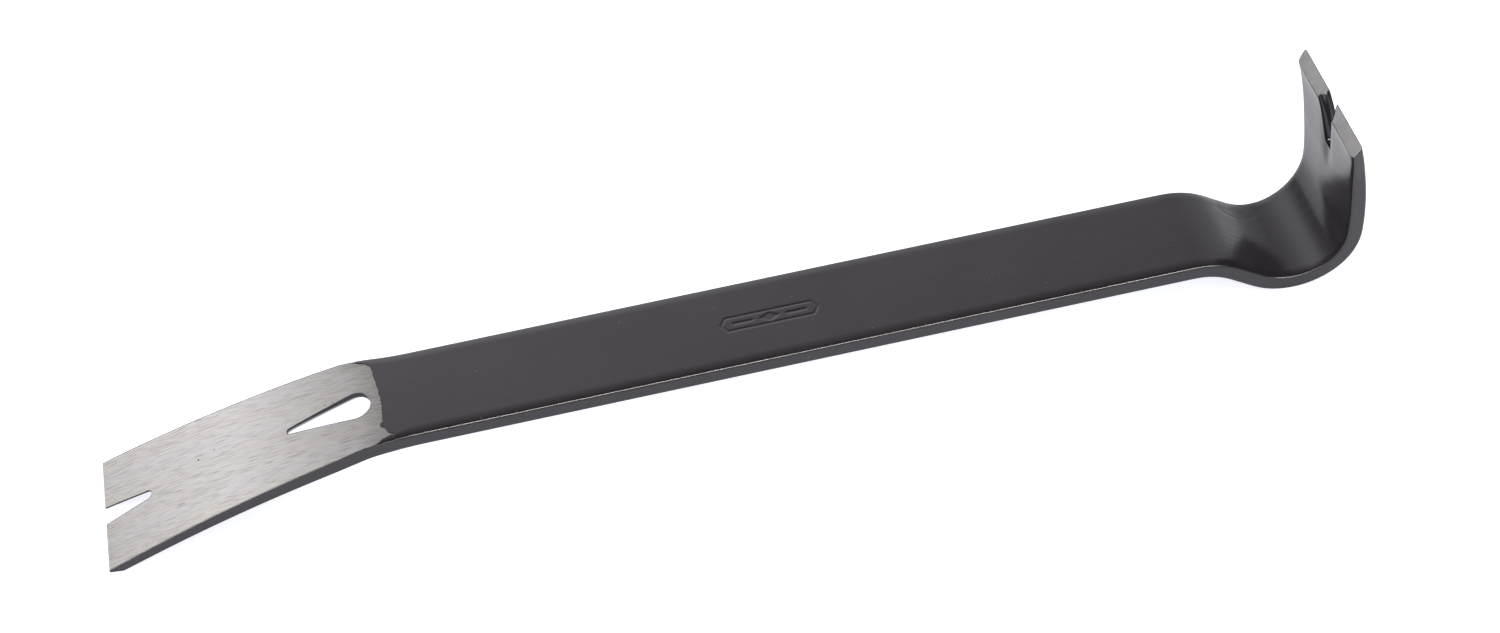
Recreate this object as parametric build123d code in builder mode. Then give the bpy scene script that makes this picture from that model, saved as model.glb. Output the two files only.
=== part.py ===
"""A flat pry bar: a forged steel strip with a notched blade, a nail slot and a clawed hook, under black enamel.

Two sub-parts are made. The forged bar is the steel. The enamel coat is a thin shell round it, open where the
steel is ground bare: on the blade's upper face, at its tip, and on the inner side of both claws.
The bar is modelled as it lies on a flat surface, on its blade tip and on the heel of its hook. +X runs from the
blade to the hook, +Z is up, and the origin is under the middle of the bar, on that surface.
"""

import math
import os

from build123d import *

# Driving dimensions, in millimetres and degrees. Lengths and radii along the strip are its upper face's.
SHANK_LENGTH = 248.2
SHANK_WIDTH = 34.2
SHANK_THICKNESS = 5.3

BEND_RADIUS = 36.0
BEND_ANGLE = 12.0
BLADE_RADIUS = 470.0
BLADE_ANGLE = 10.0
BLADE_TIP_WIDTH = 44.2
BLADE_WAIST_WIDTH = 38.6
BLADE_WAIST_OFFSET = 17.0
BLADE_FLARE_LEAN = 2.0
SHANK_FLARE_OFFSET = 6.0
TIP_THICKNESS = 3.4
TIP_LAND = 0.5
TIP_BEVEL_LENGTH = 4.2

HUMP_RADIUS = 25.2
HUMP_ANGLE = 34.2
DIP_LENGTH = 9.3
HOOK_RADIUS = 15.7
HOOK_ANGLE = 122.8
CLAW_RADIUS = 126.0
CLAW_ANGLE = 16.9
CLAW_WIDTH = 46.6
CLAW_WAIST_WIDTH = 39.0
CLAW_WAIST_HEIGHT = 22.0
CLAW_FLARE_LEAN = 5.0
CLAW_THICKNESS = 4.7
CLAW_BEVEL_LENGTH = 4.4

COAT = 0.3
GRIND_DEPTH = 0.35
SHOULDER_RADIUS = 1.3

NOTCH_DEPTH = 16.3
NOTCH_MOUTH = 6.6
NOTCH_ROOT_RADIUS = 1.6
CLAW_NOTCH_DEPTH = 19.0
CLAW_NOTCH_MOUTH = 10.0
CLAW_NOTCH_ROOT_RADIUS = 2.0
SLOT_LENGTH = 26.8
SLOT_END_RADIUS = 5.0
SLOT_NOSE_RADIUS = 1.1
SLOT_END = -0.9
SLOT_PITCH = 8.0
GRIND_LINE_FAR = -3.4
GRIND_LINE_MIDDLE = 2.2
GRIND_LINE_NEAR = 4.6

# How far cutting shapes and the unfinished strip run past the faces that they meet.
OVERRUN = 3.0
REACH = 80.0
CUT_DEPTH = 12.0

# The strip's upper and lower faces are larger than this, in square millimetres, and its two ends smaller.
LEAST_FLAT_AREA = 250.0


def turned(direction, degrees):
    """A direction in the bar's side view, turned anticlockwise."""
    angle = math.radians(degrees)
    x = direction[0] * math.cos(angle) - direction[1] * math.sin(angle)
    y = direction[0] * math.sin(angle) + direction[1] * math.cos(angle)
    return (x, y)


def moved(point, direction, distance):
    """A point in the bar's side view, moved along a direction."""
    return (point[0] + direction[0] * distance, point[1] + direction[1] * distance)


def arc_end(start, direction, radius, degrees):
    """The end of an arc that leaves start along direction; it turns clockwise if degrees is under 0."""
    side = 1 if degrees > 0 else -1
    centre = moved(start, turned(direction, 90 * side), radius)
    return moved(centre, turned(direction, degrees - 90 * side), radius)


# The side view's corner points: the upper face's line, and how the strip points at both ends.
TO_TIP = turned((-1, 0), BEND_ANGLE + BLADE_ANGLE)
TO_CLAWS = turned((1, 0), HOOK_ANGLE + CLAW_ANGLE - HUMP_ANGLE)
TIP_INWARD = turned(TO_TIP, 90)
CLAW_OUTWARD = turned(TO_CLAWS, -90)
BEND_END = arc_end((0, 0), (-1, 0), BEND_RADIUS, BEND_ANGLE)
TIP = arc_end(BEND_END, turned((-1, 0), BEND_ANGLE), BLADE_RADIUS, BLADE_ANGLE)
HUMP_END = arc_end((SHANK_LENGTH, 0), (1, 0), HUMP_RADIUS, -HUMP_ANGLE)
HOOK_START = moved(HUMP_END, turned((1, 0), -HUMP_ANGLE), DIP_LENGTH)
HOOK_END = arc_end(HOOK_START, turned((1, 0), -HUMP_ANGLE), HOOK_RADIUS, HOOK_ANGLE)
CLAW_END = arc_end(HOOK_END, turned((1, 0), HOOK_ANGLE - HUMP_ANGLE), CLAW_RADIUS, CLAW_ANGLE)
HOOK_CENTRE = moved(HOOK_START, turned((1, 0), 90 - HUMP_ANGLE), HOOK_RADIUS)

TIP_EDGE = moved(TIP, TIP_INWARD, GRIND_DEPTH)
TIP_LOWER = moved(TIP, TIP_INWARD, TIP_THICKNESS)
LOWER_BEND_END = arc_end((0, -SHANK_THICKNESS), (-1, 0), BEND_RADIUS - SHANK_THICKNESS, BEND_ANGLE)

# At rest the bar stands on the heel of the tip's bevel and on the outside of the hook. The blade's lower face
# is one arc, so its direction at the tip mirrors its direction at the bend about the chord between them.
BLADE_CHORD = math.degrees(math.atan2(LOWER_BEND_END[1] - TIP_LOWER[1], LOWER_BEND_END[0] - TIP_LOWER[0]))
TIP_LOWER_DIRECTION = turned((-1, 0), 2 * BLADE_CHORD - BEND_ANGLE)
TIP_HEEL = moved(TIP_LOWER, TIP_LOWER_DIRECTION, -TIP_BEVEL_LENGTH)
HOOK_OUTER_RADIUS = HOOK_RADIUS + SHANK_THICKNESS
TO_HOOK = (HOOK_CENTRE[0] - TIP_HEEL[0], HOOK_CENTRE[1] - TIP_HEEL[1])
HOOK_RISE = math.atan2(TO_HOOK[1], TO_HOOK[0])
HOOK_SPREAD = math.asin(HOOK_OUTER_RADIUS / math.hypot(*TO_HOOK))
REST_TILT = math.degrees(HOOK_RISE - HOOK_SPREAD)


def side_plane(origin):
    """The bar's side view at its rest tilt, with its own origin at a point (x, z) of the finished frame."""
    along = turned((1, 0), -REST_TILT)
    return Plane(origin=(origin[0], 0, origin[1]), x_dir=(along[0], 0, along[1]), z_dir=(0, -1, 0))


def strip_profile(inset):
    """The bent strip seen from the side, its faces moved in by inset, and run past the tip and the claws."""
    lower_depth = SHANK_THICKNESS - inset
    tip_lower_point = moved(TIP_LOWER, TIP_INWARD, -inset)
    claw_back_point = moved(CLAW_END, CLAW_OUTWARD, CLAW_THICKNESS - inset)
    with BuildSketch() as profile:
        with BuildLine():
            upper_bend = JernArc((0, -inset), (-1, 0), BEND_RADIUS - inset, BEND_ANGLE)
            upper_blade = JernArc(upper_bend @ 1, upper_bend % 1, BLADE_RADIUS - inset, BLADE_ANGLE)
            upper_tip = PolarLine(upper_blade @ 1, OVERRUN, direction=upper_blade % 1)
            upper_shank = Line((0, -inset), (SHANK_LENGTH, -inset))
            upper_hump = JernArc(upper_shank @ 1, (1, 0), HUMP_RADIUS - inset, -HUMP_ANGLE)
            upper_dip = PolarLine(upper_hump @ 1, DIP_LENGTH, direction=upper_hump % 1)
            upper_hook = JernArc(upper_dip @ 1, upper_dip % 1, HOOK_RADIUS + inset, HOOK_ANGLE)
            upper_claw = JernArc(upper_hook @ 1, upper_hook % 1, CLAW_RADIUS + inset, CLAW_ANGLE)
            claw_front = PolarLine(upper_claw @ 1, OVERRUN, direction=upper_claw % 1)
            lower_bend = JernArc((0, -lower_depth), (-1, 0), BEND_RADIUS - lower_depth, BEND_ANGLE)
            TangentArc(lower_bend @ 1, tip_lower_point, tangent=lower_bend % 1)
            lower_tip = PolarLine(tip_lower_point, OVERRUN, direction=TO_TIP)
            Line(upper_tip @ 1, lower_tip @ 1)
            lower_shank = Line((0, -lower_depth), (SHANK_LENGTH, -lower_depth))
            lower_hump = JernArc(lower_shank @ 1, (1, 0), HUMP_RADIUS - lower_depth, -HUMP_ANGLE)
            lower_dip = PolarLine(lower_hump @ 1, DIP_LENGTH, direction=lower_hump % 1)
            lower_hook = JernArc(lower_dip @ 1, lower_dip % 1, HOOK_RADIUS + lower_depth, HOOK_ANGLE)
            TangentArc(lower_hook @ 1, claw_back_point, tangent=lower_hook % 1)
            claw_back = PolarLine(claw_back_point, OVERRUN, direction=TO_CLAWS)
            Line(claw_front @ 1, claw_back @ 1)
        make_face()
    return profile.sketch


# The finished frame: the middle of the strip over x = 0, and its lowest points at z = 0.
TILTED = side_plane((0, 0))
with BuildSketch(TILTED) as tilted_profile:
    add(strip_profile(0))
TIP_X = TILTED.from_local_coords(TIP_EDGE).X
HOOK_X = tilted_profile.sketch.bounding_box().max.X
HEEL_Z = TILTED.from_local_coords(HOOK_CENTRE).Z - HOOK_OUTER_RADIUS
SIDE = side_plane((-(TIP_X + HOOK_X) / 2, -HEEL_Z))
HEEL_X = SIDE.from_local_coords(HOOK_CENTRE).X
SHANK_START_X = SIDE.from_local_coords((0, 0)).X
CLAW_TOP_Z = SIDE.from_local_coords(CLAW_END).Z
BLADE_LEFT_X = SIDE.from_local_coords(TIP).X


def blade_and_shank_plan(inset):
    """The strip seen from above: a flared blade, a parallel shank, and room for the wider hook."""
    half_shank = SHANK_WIDTH / 2 - inset
    half_waist = BLADE_WAIST_WIDTH / 2 - inset
    half_tip = BLADE_TIP_WIDTH / 2 - inset
    shank_point = (SHANK_START_X + SHANK_FLARE_OFFSET, half_shank)
    waist_point = (SHANK_START_X - BLADE_WAIST_OFFSET, half_waist)
    tip_point = (BLADE_LEFT_X - OVERRUN, half_tip)
    with BuildSketch() as plan:
        with BuildLine():
            tip_direction = turned((-1, 0), -BLADE_FLARE_LEAN)
            Spline(shank_point, waist_point, tip_point, tangents=((-1, 0), tip_direction))
            Line(tip_point, (tip_point[0], 0))
            Line((tip_point[0], 0), (HEEL_X, 0))
            Line((HEEL_X, 0), (HEEL_X, half_shank))
            Line((HEEL_X, half_shank), shank_point)
        make_face()
        mirror(about=Plane.XZ)
    return plan.sketch


def hook_front(inset):
    """The hook seen along the bar: parallel at its foot, then flared up to the claws."""
    half_shank = SHANK_WIDTH / 2 - inset
    half_waist = CLAW_WAIST_WIDTH / 2 - inset
    half_claw = CLAW_WIDTH / 2 - inset
    flare_point = (half_shank, SHANK_THICKNESS)
    top_point = (half_claw, CLAW_TOP_Z + OVERRUN)
    with BuildSketch() as front:
        with BuildLine():
            Line((0, -OVERRUN), (half_shank, -OVERRUN))
            Line((half_shank, -OVERRUN), flare_point)
            claw_direction = turned((0, 1), -CLAW_FLARE_LEAN)
            Spline(flare_point, (half_waist, CLAW_WAIST_HEIGHT), top_point, tangents=((0, 1), claw_direction))
            Line(top_point, (0, top_point[1]))
            Line((0, top_point[1]), (0, -OVERRUN))
        make_face()
        mirror(about=Plane.YZ)
    return front.sketch


def is_flat_face(face):
    """Whether a face is one of the strip's upper or lower faces, and not a side or an end."""
    return abs(face.normal_at().Y) < 0.01 and face.area > LEAST_FLAT_AREA


def runs_along_bar(edge):
    """Whether an edge runs along the strip, and not across it."""
    return abs((edge % 0.5).Y) < 0.5


def bent_strip(inset):
    """The strip with its full outline, before anything is cut or ground, moved in by inset on every face."""
    with BuildPart() as outline:
        with BuildSketch(Plane.XY) as plan:
            add(blade_and_shank_plan(inset))
        extrude(amount=REACH, both=True)
        with BuildSketch(Plane.YZ.offset(HEEL_X)) as front:
            add(hook_front(inset))
        extrude(amount=REACH)
    with BuildPart() as strip:
        with BuildSketch(SIDE) as profile:
            add(strip_profile(inset))
        extrude(amount=REACH, both=True)
        add(outline.part, mode=Mode.INTERSECT)
        flat_faces = strip.faces().filter_by(is_flat_face)
        fillet(flat_faces.edges().filter_by(runs_along_bar), radius=SHOULDER_RADIUS - inset)
    return strip.part


def section_plane(point, direction, up):
    """A plane on the strip's upper face at a point of the side view, its X along direction, its Z along up."""
    origin = SIDE.from_local_coords(point)
    along = SIDE.from_local_coords(moved(point, direction, 1)) - origin
    normal = SIDE.from_local_coords(moved(point, up, 1)) - origin
    return Plane(origin=origin, x_dir=along, z_dir=normal)


def notch_outline(mouth, depth, root_radius, inset):
    """A V notch with a round root, its mouth at x = 0 and its root along -X, widened by inset."""
    slope = (mouth / 2 - root_radius) / (depth - root_radius)
    with BuildSketch() as notch:
        with Locations((OVERRUN, 0)):
            Rectangle(OVERRUN, mouth + 2 * slope * OVERRUN + 2 * inset)
        with Locations((root_radius - depth, 0)):
            Circle(root_radius + inset)
        make_hull()
    return notch.sketch


def slot_outline(inset):
    """The teardrop nail slot: a round end at x = 0 and a narrow nose along +X, widened by inset."""
    with BuildSketch() as teardrop:
        with Locations((SLOT_END_RADIUS, 0)):
            Circle(SLOT_END_RADIUS + inset)
        with Locations((SLOT_LENGTH - SLOT_NOSE_RADIUS, 0)):
            Circle(SLOT_NOSE_RADIUS + inset)
        make_hull()
    return teardrop.sketch


def cut_strip(inset):
    """The strip with both notches and the nail slot cut through it, before grinding."""
    slot_direction = turned((-1, 0), SLOT_PITCH)
    tip_plane = section_plane(TIP, TO_TIP, turned(TIP_INWARD, 180))
    claw_plane = section_plane(CLAW_END, TO_CLAWS, turned(CLAW_OUTWARD, 180))
    slot_plane = section_plane((SLOT_END, 0), slot_direction, turned(slot_direction, -90))
    with BuildPart() as cut:
        add(bent_strip(inset))
        with BuildSketch(tip_plane) as tip_notch:
            add(notch_outline(NOTCH_MOUTH, NOTCH_DEPTH, NOTCH_ROOT_RADIUS, inset))
        extrude(amount=CUT_DEPTH, both=True, mode=Mode.SUBTRACT)
        with BuildSketch(claw_plane) as claw_notch:
            add(notch_outline(CLAW_NOTCH_MOUTH, CLAW_NOTCH_DEPTH, CLAW_NOTCH_ROOT_RADIUS, inset))
        extrude(amount=CUT_DEPTH, both=True, mode=Mode.SUBTRACT)
        with BuildSketch(slot_plane) as nail_slot:
            add(slot_outline(inset))
        extrude(amount=CUT_DEPTH, both=True, mode=Mode.SUBTRACT)
    return cut.part


def blade_face_cutter():
    """What grinding took off the blade's upper face, back to a slanted line beside the nail slot."""
    with BuildPart() as cutter:
        with BuildSketch(SIDE) as ground_depth:
            with BuildLine():
                bend = JernArc((0, -GRIND_DEPTH), (-1, 0), BEND_RADIUS - GRIND_DEPTH, BEND_ANGLE)
                blade = JernArc(bend @ 1, bend % 1, BLADE_RADIUS - GRIND_DEPTH, BLADE_ANGLE)
                past_tip = PolarLine(blade @ 1, OVERRUN * 2, direction=blade % 1)
                rise = Line(past_tip @ 1, ((past_tip @ 1).X, REACH / 4))
                cover = Line(rise @ 1, (SHANK_WIDTH, REACH / 4))
                fall = Line(cover @ 1, (SHANK_WIDTH, -GRIND_DEPTH))
                Line(fall @ 1, (0, -GRIND_DEPTH))
            make_face()
        extrude(amount=REACH, both=True)
        with BuildSketch(Plane.XY) as ground_plan:
            with BuildLine():
                far_corner = (SHANK_START_X + GRIND_LINE_FAR, SHANK_WIDTH / 2)
                near_corner = (SHANK_START_X + GRIND_LINE_NEAR, -SHANK_WIDTH / 2)
                middle = (SHANK_START_X + GRIND_LINE_MIDDLE, 0)
                ThreePointArc(far_corner, middle, near_corner)
                near_out = (near_corner[0], -REACH)
                far_out = (far_corner[0], REACH)
                near_left = (-REACH * 3, -REACH)
                far_left = (-REACH * 3, REACH)
                Polyline(near_corner, near_out, near_left, far_left, far_out, far_corner)
            make_face()
        extrude(amount=REACH, both=True, mode=Mode.INTERSECT)
    return cutter.part


def end_cutters():
    """What grinding took off the strip's ends: the tip's end and underside, and the claws' inner side."""
    bevel_start = moved(TIP_EDGE, TIP_INWARD, TIP_LAND)
    tip_slope = (TIP_HEEL[0] - bevel_start[0], TIP_HEEL[1] - bevel_start[1])
    bevel_end = moved(bevel_start, tip_slope, 2)
    claw_edge = moved(CLAW_END, CLAW_OUTWARD, CLAW_THICKNESS)
    bevel_foot = moved(CLAW_END, TO_CLAWS, -CLAW_BEVEL_LENGTH)
    claw_slope = (bevel_foot[0] - claw_edge[0], bevel_foot[1] - claw_edge[1])
    with BuildPart() as cutters:
        with BuildSketch(SIDE) as ends:
            tip_above = moved(TIP_EDGE, TIP_INWARD, -REACH / 4)
            below_tip = moved(bevel_end, TO_TIP, REACH / 4)
            past_tip = moved(TIP_EDGE, TO_TIP, REACH / 2)
            Polygon(tip_above, TIP_EDGE, bevel_start, bevel_end, below_tip, past_tip, align=None)
            behind_claws = moved(claw_edge, claw_slope, -2)
            before_claws = moved(bevel_foot, claw_slope, 2)
            past_foot = moved(bevel_foot, TO_CLAWS, REACH / 4)
            past_edge = moved(claw_edge, TO_CLAWS, REACH / 4)
            Polygon(behind_claws, before_claws, past_foot, past_edge, align=None)
        extrude(amount=REACH, both=True)
    return cutters.part


core = cut_strip(COAT)
envelope = cut_strip(0)
blade_face = blade_face_cutter()
ends = end_cutters()

with BuildPart() as forged_bar:
    add(core)
    add(blade_face, mode=Mode.SUBTRACT)
    add(ends, mode=Mode.SUBTRACT)

with BuildPart() as enamel_coat:
    add(envelope)
    add(core, mode=Mode.SUBTRACT)
    add(blade_face, mode=Mode.SUBTRACT)
    add(ends, mode=Mode.SUBTRACT)

os.makedirs("parts", exist_ok=True)
forged_bar.part.label = "forged_bar"
export_step(forged_bar.part, "parts/forged_bar.step")
enamel_coat.part.label = "enamel_coat"
export_step(enamel_coat.part, "parts/enamel_coat.step")
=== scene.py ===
import math

import bpy
import numpy as np
from mathutils import Matrix, Vector


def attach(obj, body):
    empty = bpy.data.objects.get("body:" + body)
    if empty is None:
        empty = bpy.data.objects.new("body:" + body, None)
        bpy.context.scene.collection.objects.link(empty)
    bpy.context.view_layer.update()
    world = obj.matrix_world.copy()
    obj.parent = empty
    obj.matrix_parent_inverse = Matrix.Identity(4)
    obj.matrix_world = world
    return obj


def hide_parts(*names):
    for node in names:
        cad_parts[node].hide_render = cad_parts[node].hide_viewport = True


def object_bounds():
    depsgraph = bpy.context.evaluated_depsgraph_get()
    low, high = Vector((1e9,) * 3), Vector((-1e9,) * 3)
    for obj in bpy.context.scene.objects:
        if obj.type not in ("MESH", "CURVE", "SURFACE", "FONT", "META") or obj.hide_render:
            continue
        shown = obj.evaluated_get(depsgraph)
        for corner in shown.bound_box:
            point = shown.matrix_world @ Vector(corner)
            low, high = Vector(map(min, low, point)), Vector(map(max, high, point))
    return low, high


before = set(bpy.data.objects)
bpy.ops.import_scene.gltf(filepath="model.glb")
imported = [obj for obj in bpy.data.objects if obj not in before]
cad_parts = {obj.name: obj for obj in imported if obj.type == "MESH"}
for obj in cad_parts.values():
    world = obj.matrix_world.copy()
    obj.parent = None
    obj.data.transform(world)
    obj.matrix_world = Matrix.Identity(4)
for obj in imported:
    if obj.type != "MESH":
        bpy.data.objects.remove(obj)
cad_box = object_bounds()
cad_low, cad_high = (np.array(corner, float) for corner in cad_box)

MM = 0.001

# Driving dimensions of the strip, in millimetres and degrees. Places along its upper face are measured from
# the point where the shank meets the bend: negative towards the blade's tip, positive towards the claws.
REST_TILT = 1.418
SHANK_LENGTH, SHANK_THICKNESS, SHANK_HALF_WIDTH = 248.2, 5.3, 17.1
BEND_RADIUS, BEND_ANGLE = 36.0, 12.0
BLADE_RADIUS, BLADE_ANGLE = 470.0, 10.0
HUMP_RADIUS, HUMP_ANGLE, DIP_LENGTH = 25.2, 34.2, 9.3
HOOK_RADIUS, HOOK_ANGLE = 15.7, 122.8
CLAW_RADIUS, CLAW_ANGLE = 126.0, 16.9
TIP_THICKNESS, CLAW_THICKNESS = 3.4, 4.7
TIP_LAND, TIP_BEVEL, CLAW_BEVEL = 0.5, 4.2, 4.6
TIP_BEVEL_REACH, CLAW_BEVEL_REACH = 16.0, 14.0
CLAW_TAPER, CLAW_TAPER_LENGTH = 1.2, 24.0
CLAW_CORNER = 0.5

BEND_LENGTH = math.radians(BEND_ANGLE) * BEND_RADIUS
BLADE_LENGTH = math.radians(BLADE_ANGLE) * BLADE_RADIUS
TIP_S = -BEND_LENGTH - BLADE_LENGTH
HUMP_END_S = SHANK_LENGTH + math.radians(HUMP_ANGLE) * HUMP_RADIUS
HOOK_START_S = HUMP_END_S + DIP_LENGTH
HOOK_END_S = HOOK_START_S + math.radians(HOOK_ANGLE) * HOOK_RADIUS
CLAW_S = HOOK_END_S + math.radians(CLAW_ANGLE) * CLAW_RADIUS

# The openings on the middle line: circles as (place, radius), and half the width of each notch's mouth.
SLOT_ROUND, SLOT_NOSE = (-5.9, 5.0), (-26.6, 1.1)
TIP_NOTCH_ROOT, TIP_NOTCH_MOUTH = (TIP_S + 14.7, 1.6), 3.3
CLAW_NOTCH_ROOT, CLAW_NOTCH_MOUTH = (CLAW_S - 16.6, 2.4), 5.5

COAT = 0.2
GRIND = 0.22
GRIND_LINE_S = 2.2
GROOVE_DEPTH, GROOVE_HALF_WIDTH, GROOVE_LENGTH = 0.7, 2.6, 9.0
MARK_START, MARK_END = 103.0, 138.0
MARK_DEPTH, MARK_HALF_LENGTH, MARK_HALF_WIDTH, MARK_SLANT = 0.17, 15.5, 3.3, 0.6
# How many stations run along each opening's outline.
TIP_STATIONS, SLOT_STATIONS, CLAW_STATIONS = 26, 54, 36
rng = np.random.default_rng(7)


def smooth(u):
    u = np.clip(u, 0.0, 1.0)
    return u * u * (3.0 - 2.0 * u)


def blurred(values, step, width):
    """A row of values, evenly spaced by step, averaged with a bell of the given width."""
    reach = int(4 * width / step)
    bell = np.exp(-0.5 * (np.arange(-reach, reach + 1) * step / width) ** 2)
    padded = np.pad(values, reach, mode="edge")
    return np.convolve(padded, bell / bell.sum(), mode="valid")


# ---------------------------------------- the strip's line, width and thickness
STEP = 0.1
line_s = np.arange(TIP_S - 1.0, CLAW_S + 1.0, STEP)


def line_tables():
    """Heading and place of the upper face's line at every line_s, before build_bar moves it to the frame."""
    bends = [
        (-BEND_LENGTH - BLADE_LENGTH - 9, -BEND_LENGTH, -1 / BLADE_RADIUS),
        (-BEND_LENGTH, 0, -1 / BEND_RADIUS),
        (SHANK_LENGTH, HUMP_END_S, -1 / HUMP_RADIUS),
        (HOOK_START_S, HOOK_END_S, 1 / HOOK_RADIUS),
        (HOOK_END_S, CLAW_S + 9, 1 / CLAW_RADIUS),
    ]
    curve = np.zeros_like(line_s)
    for start, end, k in bends:
        curve[(line_s >= start) & (line_s < end)] = k
    curve = blurred(curve, STEP, 1.6)
    heading = np.cumsum(curve) * STEP
    heading += -math.radians(REST_TILT) - np.interp(SHANK_LENGTH / 2, line_s, heading)
    x = np.cumsum(np.cos(heading)) * STEP
    z = np.cumsum(np.sin(heading)) * STEP
    return heading, x, z


line_heading, line_x, line_z = line_tables()


def table(points, width):
    """A smooth function of place along the bar through a few (place, value) points."""
    places, values = zip(*points)
    row = blurred(np.interp(line_s, places, values), STEP, width)
    return lambda s: np.interp(s, line_s, row)


half_width = table([
    (TIP_S, 22.1), (-14, 19.1), (8, SHANK_HALF_WIDTH), (HOOK_START_S + 6, SHANK_HALF_WIDTH),
    (HOOK_START_S + 15, 17.8), (HOOK_START_S + 26, 19.0), (CLAW_S - 14, 21.2), (CLAW_S, 23.7),
    (CLAW_S + 9, 25.6),
], 3.0)
thickness = table([
    (TIP_S, TIP_THICKNESS), (-40, 4.45), (0, SHANK_THICKNESS), (HOOK_START_S, SHANK_THICKNESS),
    (CLAW_S, CLAW_THICKNESS),
], 2.0)
shoulder_width = table([
    (TIP_S, 0.02), (-4.4, 0.02), (6, 3.4), (HOOK_START_S, 3.4), (HOOK_START_S + 22, 2.2), (CLAW_S, 2.1),
], 1.2)
shoulder_depth = table([
    (TIP_S, 1.15), (HOOK_START_S, 1.15), (HOOK_START_S + 22, 0.9),
    (CLAW_S - CLAW_TAPER_LENGTH, 0.9), (CLAW_S, 2.6),
], 1.2)


def place(s, y, depth):
    """Points on the strip: s along it, y across it, depth under the upper face's line; in metres."""
    heading = np.interp(s, line_s, line_heading)
    x = np.interp(s, line_s, line_x) + np.sin(heading) * depth
    z = np.interp(s, line_s, line_z) - np.cos(heading) * depth
    return np.stack([x, y * np.ones_like(x), z], -1) * MM


# ---------------------------------------- stations along the bar
def hull_half(root, nose, count):
    """Half the outline of two circles' hull, from the nose's end to the root's end: rows of (s, half width).
    root and nose are (place, radius), and the points are evenly spaced along the outline."""
    reach = abs(root[0] - nose[0])
    way = 1 if root[0] > nose[0] else -1
    lean = math.asin((root[1] - nose[1]) / reach)
    points = []
    for a in np.linspace(0, math.pi / 2 - lean, 40):
        points.append((nose[0] - way * nose[1] * math.cos(a), nose[1] * math.sin(a)))
    for a in np.linspace(math.pi / 2 - lean, math.pi, 60):
        points.append((root[0] - way * root[1] * math.cos(a), root[1] * math.sin(a)))
    points = np.array(points)
    length = np.concatenate([[0], np.cumsum(np.hypot(*np.diff(points, axis=0).T))])
    even = np.linspace(0, length[-1], count)
    return np.stack([np.interp(even, length, points[:, 0]), np.interp(even, length, points[:, 1])], -1)


def notch_half(end, mouth, root, count):
    """Half a V notch's outline, from its mouth at the strip's end to its round root."""
    way = 1 if root[0] > end else -1
    depth = abs(root[0] - end)
    lean = math.atan2(mouth - root[1], depth)
    arc = np.linspace(math.pi / 2 - lean, 0, 30)
    points = [(end, mouth)] + [(root[0] + way * root[1] * math.cos(a), root[1] * math.sin(a)) for a in arc]
    points = np.array(points)
    length = np.concatenate([[0], np.cumsum(np.hypot(*np.diff(points, axis=0).T))])
    even = np.linspace(0, length[-1], count)
    return np.stack([np.interp(even, length, points[:, 0]), np.interp(even, length, points[:, 1])], -1)


def stations():
    """Every station's inner place a, opening half width h and outer place b, which stations are open, and
    which is the slot's first."""
    tip = notch_half(TIP_S, TIP_NOTCH_MOUTH, TIP_NOTCH_ROOT, TIP_STATIONS)
    slot = hull_half(SLOT_ROUND, SLOT_NOSE, SLOT_STATIONS)
    claw = notch_half(CLAW_S, CLAW_NOTCH_MOUTH, CLAW_NOTCH_ROOT, CLAW_STATIONS)[::-1]
    parts = [tip]
    closed = np.linspace(tip[-1, 0], slot[0, 0], 40)[1:-1]
    parts.append(np.stack([closed, 0 * closed], -1))
    parts.append(slot)
    # Start, end and spacing of the stations: close by the bend, the mark and the hook, and wide on the shank.
    spans = [
        (slot[-1, 0], 16.0, 0.45),
        (16.0, MARK_START, 1.6),
        (MARK_START, MARK_END, 0.3),
        (MARK_END, SHANK_LENGTH - 4, 2.0),
        (SHANK_LENGTH - 4, claw[0, 0], 0.6),
    ]
    for start, end, step in spans:
        row = np.linspace(start, end, max(2, int(round((end - start) / step)) + 1))[1:]
        if end == claw[0, 0]:
            row = row[:-1]
        parts.append(np.stack([row, 0 * row], -1))
    parts.append(claw)
    inner = np.concatenate(parts)
    is_open = np.zeros(len(inner), bool)
    is_open[:TIP_STATIONS] = True
    first_slot = TIP_STATIONS + len(closed)
    is_open[first_slot:first_slot + SLOT_STATIONS] = True
    is_open[-CLAW_STATIONS:] = True
    a, h = inner.T
    h = np.where(h < 1e-6, 0.0, h)
    # The outer places are spread more evenly than the inner ones, which crowd at the round ends.
    b = a.copy()
    for _ in range(60):
        b[1:-1] = 0.25 * b[:-2] + 0.5 * b[1:-1] + 0.25 * b[2:]
    return a, h, b, is_open, first_slot


# ---------------------------------------- the ground line and the depths of the upper face
def ground_line(y):
    """Where grinding stopped on the upper face, at each place across the bar: a slanted line with a spur."""
    ys = [-18.0, -16.6, -15.6, -13.4, -11.9, -10.4, -6.0, 0.0, 6.0, 10.0, 14.0, 15.6, 17.2, 18.0]
    ss = [5.3, 4.3, 2.8, 2.1, 0.6, 1.6, 2.0, 2.2, 1.6, 1.1, 0.8, -0.5, -3.5, -4.3]
    return np.interp(y, ys, ss)


RIPPLES = [
    (size * rng.uniform(0.7, 1.4), rng.uniform(0, 2 * math.pi), amount)
    for size, amount in ((3.1, 0.05), (1.3, 0.045), (0.62, 0.035)) for _ in range(4)
]


def ragged(y):
    """Small seeded unevenness of the ground line."""
    return sum(amount * np.sin(2 * math.pi * y / wave + phase) for wave, phase, amount in RIPPLES)


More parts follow.
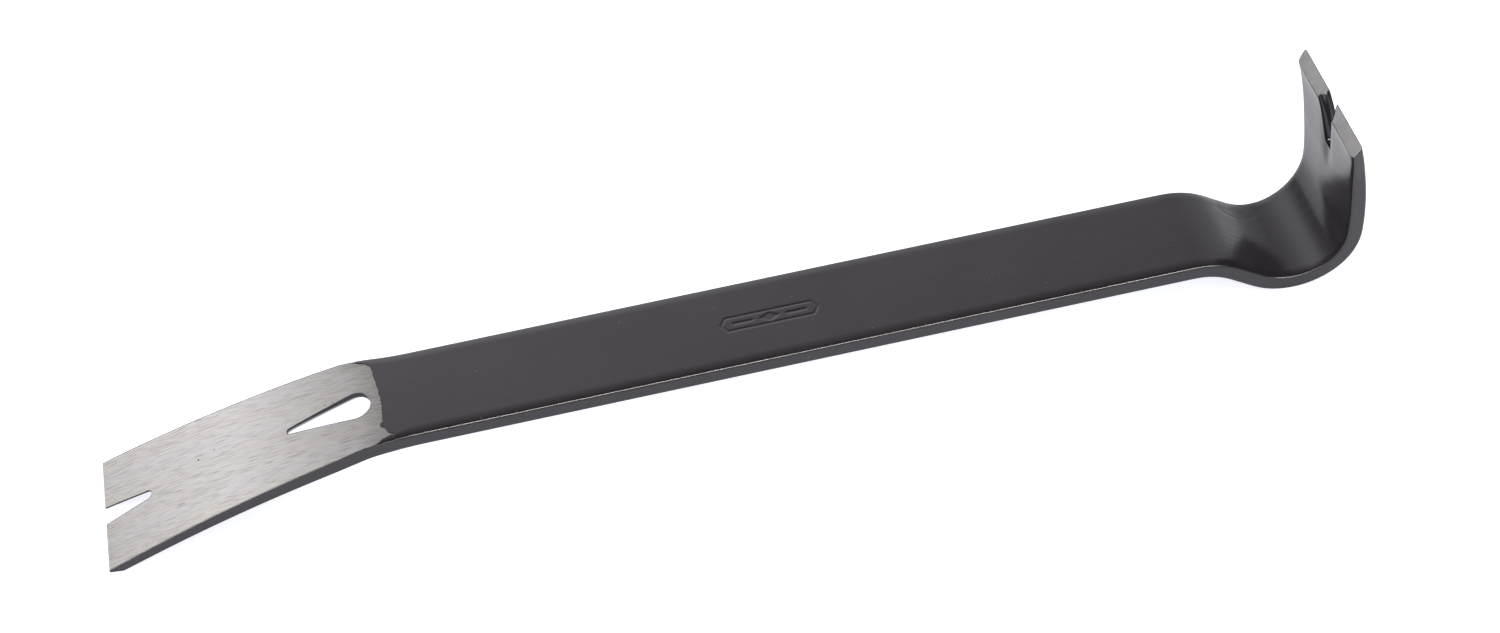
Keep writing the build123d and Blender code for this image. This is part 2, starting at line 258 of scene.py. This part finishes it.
def mark_depth(s, y):
    """A plain stamped mark: a long hexagon's outline round a lozenge and two bars. It stands for no maker."""
    u, v = s - (MARK_START + MARK_END) / 2, y
    edge = np.maximum(np.abs(v) - MARK_HALF_WIDTH, (np.abs(u) + np.abs(v) * MARK_SLANT) - MARK_HALF_LENGTH)
    line = smooth(1.0 - np.abs(edge + 0.6) / 0.62)
    lozenge = smooth((1.9 - (np.abs(u) * MARK_SLANT + np.abs(v))) / 0.5 + 0.5)
    bars = smooth((0.5 - np.abs(v)) / 0.4 + 0.5) * smooth((3.2 - np.abs(np.abs(u) - 8.2)) / 0.4 + 0.5)
    return MARK_DEPTH * np.maximum(np.maximum(line, lozenge), bars)


def claw_taper(s):
    """How far the claws' inner face is drawn down towards their ends."""
    return CLAW_TAPER * smooth((s - (CLAW_S - CLAW_TAPER_LENGTH)) / CLAW_TAPER_LENGTH)


def upper_depth(s, y, ground):
    """How far the upper face lies under its line: ground, stamped, and hollowed below the claws' notch."""
    taken = np.where(ground, COAT + GRIND * smooth((ground_line(y) - s) / 10.0), 0.0)
    root = CLAW_NOTCH_ROOT[0] - CLAW_NOTCH_ROOT[1]
    reach = smooth(1 - (root - s) / GROOVE_LENGTH) * (s > root - GROOVE_LENGTH)
    groove = GROOVE_DEPTH * np.exp(-(y / GROOVE_HALF_WIDTH) ** 2) * reach
    crease = 0.04 * np.exp(-((np.hypot((s - HOOK_START_S - 1.0) / 2.0, y - 12.5) - 3.4) / 0.5) ** 2)
    return taken + groove + crease + mark_depth(s, y) + claw_taper(s)


# ---------------------------------------- the strip's surface as welded grids
# The shoulder falls gently, then as a steep facet that catches the light: shares of its width and its depth.
SHOULDER_OUT = [0.0, 0.25, 0.50, 0.70, 0.84, 0.90, 0.92, 0.94, 0.958, 0.98, 1.0]
SHOULDER_DOWN = [0.0, 0.02, 0.09, 0.17, 0.26, 0.33, 0.41, 0.51, 0.61, 0.80, 1.0]
J, SHOULDER_ROWS, SIDE_ROWS, FOOT_ROWS = 44, 10, 6, 4
M = SHOULDER_ROWS + SIDE_ROWS + FOOT_ROWS
FOOT_WIDTH, FOOT_DEPTH = 0.9, 0.7
# The walls of the claws' notch lean into it, and the far one is fluted, though not near the notch's root:
# shares of the thickness and of the half width.
FLUTE_AT = [0.0, 0.08, 0.20, 0.34, 0.50, 0.63, 0.72, 0.83, 0.93, 1.0]
FLUTE_DEPTH = [0.0, 0.02, 0.02, -0.06, -0.26, -0.42, -0.40, -0.31, -0.35, -0.42]
FLUTE_FADE = 2.5
SHOULDER_SKEW = 2.5
# The slot's and the tip notch's walls stand upright for a share of the thickness, then open out below it.
UPRIGHT_AT_NOSE, UPRIGHT_GAIN = 0.14, 0.20
SPLAY_AT_NOSE, SPLAY_LOSS = 3.3, 0.6
WARP_REACH = 17.0
SLIDE_REACH, SLIDE_FADE = 30, 7.0
WELD = 2e-7


def end_shift(s, depth, thick):
    """How far the ground bevels at the strip's two ends move a point along the strip."""
    from_tip = np.clip(1 - (s - TIP_S) / TIP_BEVEL_REACH, 0, 1) ** 2
    land = COAT + GRIND + TIP_LAND
    under = np.clip((depth - land) / (thick - land), 0, 1)
    from_claw = np.clip(1 - (CLAW_S - s) / CLAW_BEVEL_REACH, 0, 1) ** 2
    above = 1 - np.clip(depth / thick, 0, 1)
    return TIP_BEVEL * under * from_tip - CLAW_BEVEL * above * from_claw


def outer_edge(s):
    """Half the strip's width, with the claws' outer corners just taken off."""
    corner = np.clip((s - (CLAW_S - CLAW_CORNER)) / CLAW_CORNER, 0, 1)
    return half_width(s) - CLAW_CORNER * (1 - np.sqrt(1 - np.minimum(corner, 0.999) ** 2))


def wall_setback(s, radius, flutes):
    """How far an opening's wall stands back from its upper edge, at M + 1 even shares of the thickness."""
    share = np.linspace(0, 1, M + 1)
    if s > SHANK_LENGTH:
        plain = FLUTE_DEPTH[-1] * smooth(share)
        fluted = np.interp(share, FLUTE_AT, FLUTE_DEPTH)
        return radius * (plain + (fluted - plain) * flutes)
    along = np.clip((s - SLOT_NOSE[0]) / (SLOT_ROUND[0] - SLOT_NOSE[0]), 0, 1)
    upright = UPRIGHT_AT_NOSE + UPRIGHT_GAIN * along
    return np.clip((share - upright) / (1 - upright), 0, 1) * (SPLAY_AT_NOSE - SPLAY_LOSS * along)


def strip_surface():
    """Vertices, quads, and for each quad whether it is painted."""
    a, h, b, is_open, first_slot = stations()
    count = len(a)
    kg = int(np.argmin(np.abs(a - GRIND_LINE_S)))
    v = np.linspace(0, 1, J + 1)
    station = np.arange(count)

    # The direction in which each opening's outline faces the steel, and the setback of its lower edge.
    normal = np.zeros((count, 2))
    setback = {side: np.zeros((count, M + 1)) for side in (1, -1)}
    share = np.linspace(0, 1, M + 1)
    for k in np.nonzero(is_open)[0]:
        lo, hi = k - 1, k + 1
        if lo < 0 or not is_open[lo]:
            lo = k
        if hi >= count or not is_open[hi]:
            hi = k
        ts, th = a[hi] - a[lo], h[hi] - h[lo]
        n = np.array([-th, ts]) / math.hypot(ts, th)
        if h[k] == 0:
            n = np.array([-1.0 if hi > k else 1.0, 0.0])
        if k in (0, count - 1):
            n = np.array([0.0, 1.0])
        normal[k] = n
        radius = h[k] / n[1] if n[1] > 1e-6 else CLAW_NOTCH_ROOT[1]
        flutes = min(h[k] / FLUTE_FADE, 1.0)
        setback[1][k] = wall_setback(a[k], radius, flutes)
        setback[-1][k] = wall_setback(a[k], radius, 0.0)
    ends = [k for k in station if is_open[k] and h[k] == 0]

    def opened(depth_row, sign):
        """The inner boundary of every station at one wall row: place along and half opening."""
        s = a + normal[:, 0] * setback[sign][:, depth_row]
        y = h + normal[:, 1] * setback[sign][:, depth_row]
        for k in ends:
            side = 1 if (k + 1 < count and not is_open[k + 1]) else -1
            away = (a - a[k]) * side
            near = (~is_open) & (away > 0) & (away < SLIDE_REACH)
            s = np.where(near, s + side * setback[sign][k, depth_row] * np.exp(-away / SLIDE_FADE), s)
        return s, np.maximum(y, 0)

    vertices, quads, painted = [], [], []
    offset = 0

    def add_grid(points, flip, paint):
        nonlocal offset
        n, m = points.shape[:2]
        index = offset + np.arange(n * m).reshape(n, m)
        q = np.stack([index[:-1, :-1], index[1:, :-1], index[1:, 1:], index[:-1, 1:]], -1)
        if flip:
            q = q[..., ::-1]
        vertices.append(points.reshape(-1, 3))
        quads.append(q.reshape(-1, 4))
        painted.append(np.broadcast_to(paint, q.shape[:2]).reshape(-1))
        offset += n * m

    def points_at(s, y, depth):
        thick = thickness(s)
        return place(s + end_shift(s, depth, thick), y, depth)

    lower_s, lower_h = opened(M, 1)
    for sign in (1, -1):
        far = sign > 0
        # The station at kg follows the ragged ground line, and its neighbours give way to it.
        give = np.clip(1 - np.abs(b - b[kg]) / WARP_REACH, 0, 1)
        line_y = sign * np.linspace(0, SHANK_HALF_WIDTH, J + 1)
        wanted = ground_line(line_y) + ragged(line_y)
        s_top = a[:, None] + (b - a)[:, None] * v
        warp = (wanted - s_top[kg])[None, :] * give[:, None]
        s_top = s_top + warp
        edge = outer_edge(s_top[:, -1] + end_shift(s_top[:, -1], 0, thickness(s_top[:, -1])))
        shoulder = shoulder_width(s_top[:, -1] + sign * SHOULDER_SKEW)
        y_top = h[:, None] + ((edge - shoulder) - h)[:, None] * v
        ground = (station < kg)[:, None]
        d_top = upper_depth(s_top, sign * y_top, ground & np.ones_like(s_top, bool))
        add_grid(points_at(s_top, sign * y_top, d_top), not far, (station[:-1] >= kg)[:, None])

        # The outer side, from the shoulder's start down to the foot's end.
        s_side = s_top[:, -1]
        thick = thickness(s_side)
        drop = np.maximum(shoulder_depth(s_side), d_top[:, -1] + 0.3)
        column_y, column_d = [], []
        for m in range(M + 1):
            if m <= SHOULDER_ROWS:
                depth = d_top[:, -1] + (drop - d_top[:, -1]) * SHOULDER_DOWN[m]
                inset = shoulder * (1 - SHOULDER_OUT[m])
            elif m <= SHOULDER_ROWS + SIDE_ROWS:
                down = (m - SHOULDER_ROWS) / SIDE_ROWS
                depth = drop + (thick - FOOT_DEPTH - drop) * down
                inset = 0 * s_side
            else:
                angle = math.pi / 2 * (m - SHOULDER_ROWS - SIDE_ROWS) / FOOT_ROWS
                depth = thick - FOOT_DEPTH * (1 - math.sin(angle))
                inset = FOOT_WIDTH * (1 - math.cos(angle)) + 0 * s_side
            reach = outer_edge(s_side + end_shift(s_side, depth, thick))
            column_y.append(y_top[:, -1] if m == 0 else reach - inset)
            column_d.append(depth)
        column_y, column_d = np.stack(column_y, -1), np.stack(column_d, -1)
        column_s = np.repeat(s_side[:, None], M + 1, 1)
        add_grid(points_at(column_s, sign * column_y, column_d), not far, True)

        # The underside, from the openings' lower edges out to the foot.
        s_low = lower_s[:, None] + (s_side - lower_s)[:, None] * v
        y_low = lower_h[:, None] + (column_y[:, -1] - lower_h)[:, None] * v
        add_grid(points_at(s_low, sign * y_low, thickness(s_low)), far, True)

        # The walls of the openings.
        wall_s, wall_y = zip(*[opened(m, sign) for m in range(M + 1)])
        wall_s, wall_y = np.stack(wall_s, -1), np.stack(wall_y, -1)
        wall_s = wall_s + warp[:, :1] * (1 - share)
        wall_d = d_top[:, :1] + (thickness(wall_s[:, -1:]) - d_top[:, :1]) * share
        runs = [(0, TIP_STATIONS), (first_slot, first_slot + SLOT_STATIONS), (count - CLAW_STATIONS, count)]
        for start, stop in runs:
            rows = slice(start, stop)
            add_grid(points_at(wall_s[rows], sign * wall_y[rows], wall_d[rows]), far, True)

        # The ground ends: the tip's end and underside bevel, and the claws' bevels.
        for k, flip in ((0, not far), (count - 1, far)):
            cap_y = wall_y[k][None, :] * (1 - v)[:, None] + column_y[k][None, :] * v[:, None]
            cap_d = wall_d[k][None, :] * (1 - v)[:, None] + column_d[k][None, :] * v[:, None]
            cap_s = np.full_like(cap_d, a[k])
            cap_y[:, 0], cap_d[:, 0] = y_top[k], d_top[k]
            cap_y[:, -1], cap_d[:, -1] = y_low[k], thickness(s_low[k])
            add_grid(points_at(cap_s, sign * cap_y, cap_d), flip, False)
    return np.concatenate(vertices), np.concatenate(quads), np.concatenate(painted)


def welded(points, quads):
    """Merges vertices that lie together and renumbers the quads; make_piece drops those that this closes up.
    """
    keys = np.round(points / WELD).astype(np.int64)
    _, first, back = np.unique(keys, axis=0, return_index=True, return_inverse=True)
    return points[first], back.reshape(-1)[quads]


def face_normals(points, quads):
    d1 = points[quads[:, 2]] - points[quads[:, 0]]
    d2 = points[quads[:, 3]] - points[quads[:, 1]]
    return 0.5 * np.cross(d1, d2)


def moved_in(points, quads, painted, distance):
    """The vertices with those of painted quads moved into the steel, square to the painted surface."""
    normals = np.zeros_like(points)
    wanted = face_normals(points, quads)
    for corner in range(4):
        np.add.at(normals, quads[painted, corner], wanted[painted])
    length = np.linalg.norm(normals, axis=1, keepdims=True)
    return points - np.where(length > 0, normals / np.maximum(length, 1e-20), 0) * distance


def make_piece(name, points, quads, sharp=35):
    mesh = bpy.data.meshes.new(name)
    mesh.vertices.add(len(points))
    mesh.vertices.foreach_set("co", points.astype(np.float32).ravel())
    faces = []
    for q in quads.tolist():
        kept = [x for i, x in enumerate(q) if x != q[i - 1]]
        if len(set(kept)) >= 3:
            faces.append(kept)
    loops = [x for f in faces for x in f]
    starts = np.cumsum([0] + [len(f) for f in faces[:-1]])
    mesh.loops.add(len(loops))
    mesh.polygons.add(len(faces))
    mesh.loops.foreach_set("vertex_index", loops)
    mesh.polygons.foreach_set("loop_start", starts)
    mesh.update(calc_edges=True)
    mesh.validate()
    mesh.polygons.foreach_set("use_smooth", [True] * len(mesh.polygons))
    mesh.set_sharp_from_angle(angle=math.radians(sharp))
    piece = bpy.data.objects.new(name, mesh)
    bpy.context.scene.collection.objects.link(piece)
    return piece


def build_bar():
    """The two pieces: the solid steel, and the enamel as a closed shell over all but the ground faces."""
    points, quads, painted = strip_surface()
    points, quads = welded(points, quads)
    low, high = points.min(0), points.max(0)
    middle = (cad_low + cad_high) / 2
    points = points + np.array([middle[0] - (low[0] + high[0]) / 2, 0.0, cad_low[2] - low[2]])
    steel_points = moved_in(points, quads, painted, COAT * MM)
    steel = make_piece("ground_steel_bar", steel_points, quads)

    # The shell's inner face lies just off the steel, and a rim closes it along the ground faces.
    inner = moved_in(points, quads, painted, COAT * 0.8 * MM)
    skin = quads[painted]
    edges = np.concatenate([skin[:, [i, (i + 1) % 4]] for i in range(4)])
    edges = edges[edges[:, 0] != edges[:, 1]]
    seen = {(int(p), int(q)) for p, q in edges}
    rim = np.array([(q, p, p + len(points), q + len(points)) for p, q in seen if (q, p) not in seen])
    shell_quads = np.concatenate([skin, skin[:, ::-1] + len(points), rim])
    shell_points = np.concatenate([points, inner])
    used, back = np.unique(shell_quads, return_inverse=True)
    coat = make_piece("black_enamel_shell", shell_points[used], back.reshape(shell_quads.shape))
    return steel, coat


steel_bar, enamel = build_bar()
replaced = [(steel_bar, "forged_bar", "bare_steel"), (enamel, "enamel_coat", "black_enamel")]
for piece, node, slot_name in replaced:
    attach(piece, "root")
    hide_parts(node)


# ---------------------------------------- node helpers
class Nodes:
    """A material's or world's node tree, with short ways to add and link nodes."""

    def __init__(self, owner):
        owner.use_nodes = True
        self.tree = owner.node_tree
        self.tree.nodes.clear()

    def add(self, kind, **settings):
        node = self.tree.nodes.new("ShaderNode" + kind)
        for key, value in settings.items():
            setattr(node, key, value)
        return node

    def put(self, socket, value):
        if isinstance(value, bpy.types.NodeSocket):
            self.tree.links.new(value, socket)
        else:
            socket.default_value = value

    def place(self):
        return self.add("TexCoord").outputs["Object"]

    def mapping(self, vector, scale=(1, 1, 1), turn=0.0):
        """The vector turned about Z by a number of degrees, then stretched."""
        for turned, sizes in (((0, 0, math.radians(turn)), (1, 1, 1)), ((0, 0, 0), scale)):
            node = self.add("Mapping")
            self.put(node.inputs["Vector"], vector)
            node.inputs["Rotation"].default_value = turned
            node.inputs["Scale"].default_value = sizes
            vector = node.outputs[0]
        return vector

    def noise(self, vector, scale, detail=3.0, rough=0.55, warp=0.0):
        node = self.add("TexNoise")
        self.put(node.inputs["Vector"], vector)
        node.inputs["Scale"].default_value = scale
        node.inputs["Detail"].default_value = detail
        node.inputs["Roughness"].default_value = rough
        node.inputs["Distortion"].default_value = warp
        return node.outputs["Fac"]

    def cells(self, vector, scale):
        node = self.add("TexVoronoi")
        self.put(node.inputs["Vector"], vector)
        node.inputs["Scale"].default_value = scale
        return node.outputs

    def math(self, kind, *values):
        node = self.add("Math", operation=kind)
        for i, value in enumerate(values):
            self.put(node.inputs[i], value)
        return node.outputs[0]

    def ranged(self, value, lo, hi, to_lo=0.0, to_hi=1.0):
        node = self.add("MapRange")
        for i, v in enumerate((value, lo, hi, to_lo, to_hi)):
            self.put(node.inputs[i], v)
        return node.outputs[0]

    def mixed(self, share, first, second):
        node = self.add("Mix", data_type="RGBA")
        self.put(node.inputs[0], share)
        self.put(node.inputs[6], first)
        self.put(node.inputs[7], second)
        return node.outputs[2]

    def bump(self, height, strength, distance):
        node = self.add("Bump")
        self.put(node.inputs["Height"], height)
        node.inputs["Strength"].default_value = strength
        node.inputs["Distance"].default_value = distance
        return node.outputs[0]


def colour(r, g, b):
    return (r, g, b, 1.0)


# ---------------------------------------- materials
# The belt's streaks lie at this many degrees to the bar's length.
STREAK_TURN = 8.0


def enamel_material():
    """Black enamel: soft gloss with a faint purple cast, fine orange peel, dust specks and light rubbing."""
    m = bpy.data.materials.new("black_enamel")
    n = Nodes(m)
    at = n.place()
    peel = n.noise(at, 800, 2.0, 0.5)
    coarse = n.noise(at, 150, 2.0, 0.5)
    grit = n.noise(at, 3400, 1.0, 0.5)
    cloud = n.noise(at, 38, 4.0, 0.6)
    rub = n.noise(n.mapping(at, (30, 420, 30), 4), 1.0, 5.0, 0.7)
    speck = n.cells(at, 420)["Distance"]
    lone = n.math("GREATER_THAN", n.noise(at, 160, 1.0, 0.4), 0.67)
    dust = n.math("MULTIPLY", n.ranged(speck, 0.10, 0.05), lone)
    deep, worn = colour(0.0200, 0.0167, 0.0215), colour(0.0246, 0.0209, 0.0264)
    base = n.mixed(n.ranged(cloud, 0.35, 0.65), deep, worn)
    base = n.mixed(n.ranged(rub, 0.60, 0.78, 0.0, 0.35), base, colour(0.032, 0.029, 0.034))
    base = n.mixed(dust, base, colour(0.15, 0.145, 0.14))
    rough = n.math("ADD", n.ranged(cloud, 0.3, 0.7, 0.20, 0.26), n.ranged(rub, 0.55, 0.8, 0.0, 0.10))
    height = n.math("ADD", n.math("MULTIPLY", peel, 0.6), n.math("MULTIPLY", coarse, 1.6))
    small = n.math("ADD", n.math("MULTIPLY", grit, 0.12), n.math("MULTIPLY", dust, 0.8))
    height = n.math("ADD", height, small)
    # Long shallow waves on the hook make the edges of its reflections uneven.
    part = n.add("SeparateXYZ")
    n.put(part.inputs[0], at)
    waves = n.noise(n.mapping(at, (90, 620, 90), 3), 1.0, 3.0, 0.6)
    waves = n.math("MULTIPLY", waves, n.ranged(part.outputs[0], 0.135, 0.165))
    height = n.math("ADD", height, n.math("MULTIPLY", waves, 2.2))
    shader = n.add("BsdfPrincipled")
    n.put(shader.inputs["Base Color"], base)
    n.put(shader.inputs["Roughness"], rough)
    n.put(shader.inputs["Normal"], n.bump(height, 0.30, 0.00006))
    shader.inputs["IOR"].default_value = 1.5
    n.put(n.add("OutputMaterial").inputs["Surface"], shader.outputs[0])
    return m


def steel_material():
    """Ground steel: fine streaks along the blade, a few of them deeper, warm and cool by turns."""
    m = bpy.data.materials.new("bare_steel")
    n = Nodes(m)
    at = n.place()
    fine = n.noise(n.mapping(at, (190, 5200, 190), STREAK_TURN), 1.0, 2.0, 0.6)
    wide = n.noise(n.mapping(at, (120, 2600, 120), STREAK_TURN), 1.0, 2.0, 0.6)
    broad = n.noise(n.mapping(at, (16, 200, 16), STREAK_TURN), 1.0, 2.0, 0.5)
    gouge = n.noise(n.mapping(at, (170, 3600, 170), STREAK_TURN - 2), 1.0, 0.0, 0.4)
    warm, cool = colour(0.50, 0.475, 0.44), colour(0.485, 0.485, 0.475)
    tint = n.mixed(n.ranged(broad, 0.40, 0.60), warm, cool)
    tint = n.mixed(n.ranged(wide, 0.30, 0.70, 0.0, 0.6), tint, colour(0.62, 0.605, 0.58))
    tint = n.mixed(n.ranged(fine, 0.50, 0.28, 0.0, 0.75), tint, colour(0.30, 0.28, 0.26))
    tint = n.mixed(n.ranged(gouge, 0.66, 0.74, 0.0, 0.6), tint, colour(0.22, 0.205, 0.185))
    hole = n.ranged(n.cells(at, 300)["Distance"], 0.12, 0.06)
    pit = n.math("MULTIPLY", hole, n.ranged(n.noise(at, 90, 0.0), 0.68, 0.70))
    tint = n.mixed(pit, tint, colour(0.05, 0.045, 0.04))
    # Painted shade: the steel's colour is darkened towards the bend, and half as much on the claws' small
    # bevels.
    part = n.add("SeparateXYZ")
    n.put(part.inputs[0], at)
    painted_shade_to_bend = n.ranged(part.outputs[0], -0.150, -0.104, 0.0, 0.52)
    painted_shade_claw_share = n.ranged(part.outputs[0], 0.0, 0.1, 1.0, 0.55)
    # painted shade: near black mixed into the steel's colour by place along the bar
    tint = n.mixed(n.math("MULTIPLY", painted_shade_to_bend, painted_shade_claw_share), tint, colour(0.02, 0.02, 0.02))
    rough = n.ranged(wide, 0.3, 0.7, 0.28, 0.38)
    height = n.math("ADD", n.math("MULTIPLY", fine, 0.9), n.math("MULTIPLY", wide, 0.7))
    shader = n.add("BsdfPrincipled")
    n.put(shader.inputs["Base Color"], tint)
    shader.inputs["Metallic"].default_value = 1.0
    n.put(shader.inputs["Roughness"], rough)
    n.put(shader.inputs["Normal"], n.bump(height, 0.6, 0.00005))
    n.put(n.add("OutputMaterial").inputs["Surface"], shader.outputs[0])
    return m


enamel.data.materials.append(enamel_material())
steel_bar.data.materials.append(steel_material())


# ---------------------------------------- floor, world, lights and camera
def floor_material():
    m = bpy.data.materials.new("studio_floor")
    n = Nodes(m)
    shader = n.add("BsdfPrincipled")
    shader.inputs["Base Color"].default_value = colour(0.86, 0.87, 0.92)
    shader.inputs["Roughness"].default_value = 0.9
    shader.inputs["Specular IOR Level"].default_value = 0.0
    shader.inputs["Emission Color"].default_value = colour(0.93, 0.94, 1.0)
    # The floor glows, and more strongly to the camera, so that the shadows on it nearly vanish.
    path = n.add("LightPath")
    n.put(shader.inputs["Emission Strength"], n.ranged(path.outputs["Is Camera Ray"], 0.0, 1.0, 0.38, 0.80))
    # In reflections the white floor ends a hand's breadth in front of the bar, with a dark room beyond.
    part = n.add("SeparateXYZ")
    n.put(part.inputs[0], n.place())
    beyond = n.ranged(part.outputs[1], -0.10, -0.16)
    dark = n.math("MULTIPLY", beyond, path.outputs["Is Glossy Ray"])
    room = n.add("Emission")
    room.inputs["Color"].default_value = colour(0.02, 0.02, 0.02)
    blend = n.add("MixShader")
    n.put(blend.inputs[0], dark)
    n.put(blend.inputs[1], shader.outputs[0])
    n.put(blend.inputs[2], room.outputs[0])
    n.put(n.add("OutputMaterial").inputs["Surface"], blend.outputs[0])
    return m


def make_floor():
    size = 30.0
    mesh = bpy.data.meshes.new("studio_floor")
    corners = [(-size, -size, 0), (size, -size, 0), (size, size, 0), (-size, size, 0)]
    mesh.from_pydata(corners, [], [(0, 1, 2, 3)])
    floor = bpy.data.objects.new("studio_floor", mesh)
    bpy.context.scene.collection.objects.link(floor)
    mesh.materials.append(floor_material())


def softbox(name, azimuth, elevation, distance, width, height, strength):
    """A soft light seen only in reflections, on one side of the bar: azimuth 0 stands at +X, 90 at +Y."""
    az, el = math.radians(azimuth), math.radians(elevation)
    spot = Vector((math.cos(az) * math.cos(el), math.sin(az) * math.cos(el), math.sin(el))) * distance
    light = bpy.data.lights.new(name, "AREA")
    light.shape = "RECTANGLE"
    light.size, light.size_y = width, height
    light.energy = strength * width * height
    light.color = (1.0, 0.97, 0.89)
    box = bpy.data.objects.new(name, light)
    box.location = spot
    box.rotation_euler = (-spot).to_track_quat("-Z", "Y").to_euler()
    box.visible_diffuse = False
    bpy.context.scene.collection.objects.link(box)


def make_world():
    """White to the camera and the floor. Reflections show a bright far side, and dark elsewhere."""
    world = bpy.data.worlds.new("studio")
    bpy.context.scene.world = world
    n = Nodes(world)
    part = n.add("SeparateXYZ")
    n.put(part.inputs[0], n.add("TexCoord").outputs["Generated"])
    far = n.ranged(part.outputs[1], 0.1, 0.75)
    lift = n.ranged(part.outputs[2], 0.60, 1.00, 1.0, 0.0)
    to_left = n.ranged(part.outputs[0], 0.35, -0.45, 0.50, 1.75)
    past_left = n.ranged(part.outputs[0], -0.72, -0.42, 0.08, 1.0)
    glow = n.math("MULTIPLY", n.math("MULTIPLY", far, lift), n.math("MULTIPLY", to_left, past_left))
    gloss = n.mixed(glow, colour(0.03, 0.03, 0.03), colour(1.62, 1.60, 1.66))
    path = n.add("LightPath")
    seen = n.mixed(path.outputs["Is Glossy Ray"], colour(1.0, 1.0, 1.0), gloss)
    back = n.add("Background")
    n.put(back.inputs["Color"], seen)
    back.inputs["Strength"].default_value = 1.0
    n.put(n.add("OutputWorld").inputs["Surface"], back.outputs[0])


def make_camera():
    """The photograph's view: from the near side, a little left of the middle, down at about 45 degrees."""
    forward = Vector((0.07429, 0.69759, -0.71263)).normalized()
    right = Vector((0.97186, -0.21084, -0.10508)).normalized()
    up = right.cross(forward)
    turn = Matrix((right, up, -forward)).transposed().to_4x4()
    camera = bpy.data.cameras.new("photo_view")
    camera.lens, camera.sensor_width = 66.0, 36.0
    camera.clip_start, camera.clip_end = 0.01, 100.0
    eye = bpy.data.objects.new("photo_view", camera)
    eye.matrix_world = Matrix.Translation((-0.0533, -0.57447, 0.61001)) @ turn
    bpy.context.scene.collection.objects.link(eye)
    bpy.context.scene.camera = eye


make_floor()
make_world()
softbox("near_strip", -88, 20, 1.8, 2.6, 0.22, 130.0)
make_camera()
bpy.context.scene.view_settings.view_transform = "Standard"
